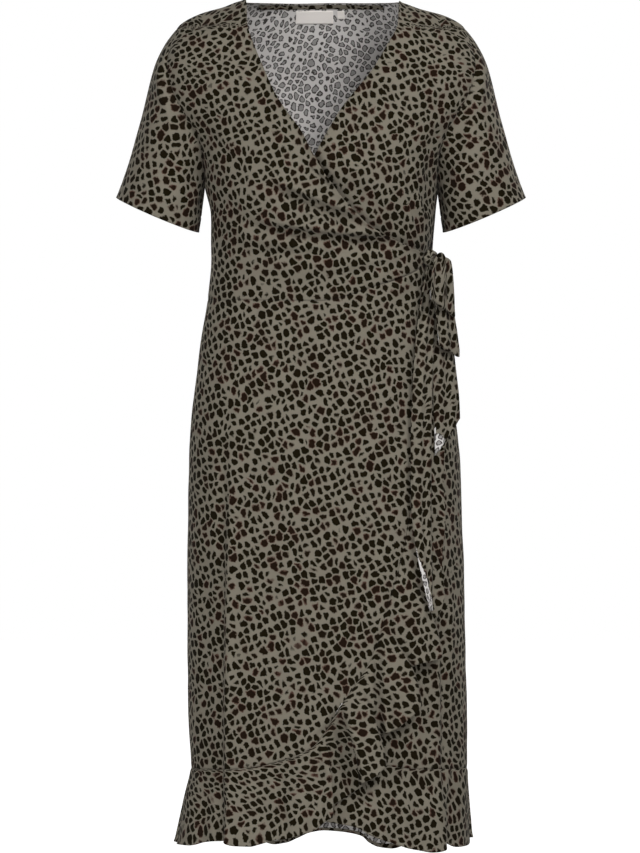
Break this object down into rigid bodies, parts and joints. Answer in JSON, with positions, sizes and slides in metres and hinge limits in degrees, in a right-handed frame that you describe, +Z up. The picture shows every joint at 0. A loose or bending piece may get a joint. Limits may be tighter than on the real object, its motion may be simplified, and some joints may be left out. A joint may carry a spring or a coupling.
{
  "type": "wrap dress",
  "caption": "Midi wrap dress with short sleeves, a V neck, a side bow and a gathered ruffle along its curved wrap edge and hem, filled out and hollow.",
  "frame": {"origin": "midway between the two neck points, at their level, where the dress is held up", "axes": "+Z up, -Y out of the dress's front, +X towards the wearer's left"},
  "size_m": [0.5852, 0.3146, 1.2075],
  "materials": {
    "printed_cloth": "light viscose weave with a small dark spot print on an olive-grey ground, pale on the reverse",
    "label_tape": "plain woven tape"
  },
  "bodies": {
    "root": {"back_bodice": "printed_cloth", "right_front_bodice": "printed_cloth", "left_front_bodice": "printed_cloth", "right_sleeve": "printed_cloth", "left_sleeve": "printed_cloth", "back_skirt": "printed_cloth", "right_front_skirt": "printed_cloth", "left_front_skirt": "printed_cloth", "back_hem_ruffle": "printed_cloth", "right_front_ruffle": "printed_cloth", "left_front_ruffle": "printed_cloth", "back_neck_binding": "printed_cloth", "tie_knot": "printed_cloth", "tie_loop_front": "printed_cloth", "tie_loop_back": "printed_cloth", "tie_end_short": "printed_cloth", "tie_end_long": "printed_cloth", "neck_label": "label_tape", "size_tab": "label_tape"}
  },
  "joints": []
}
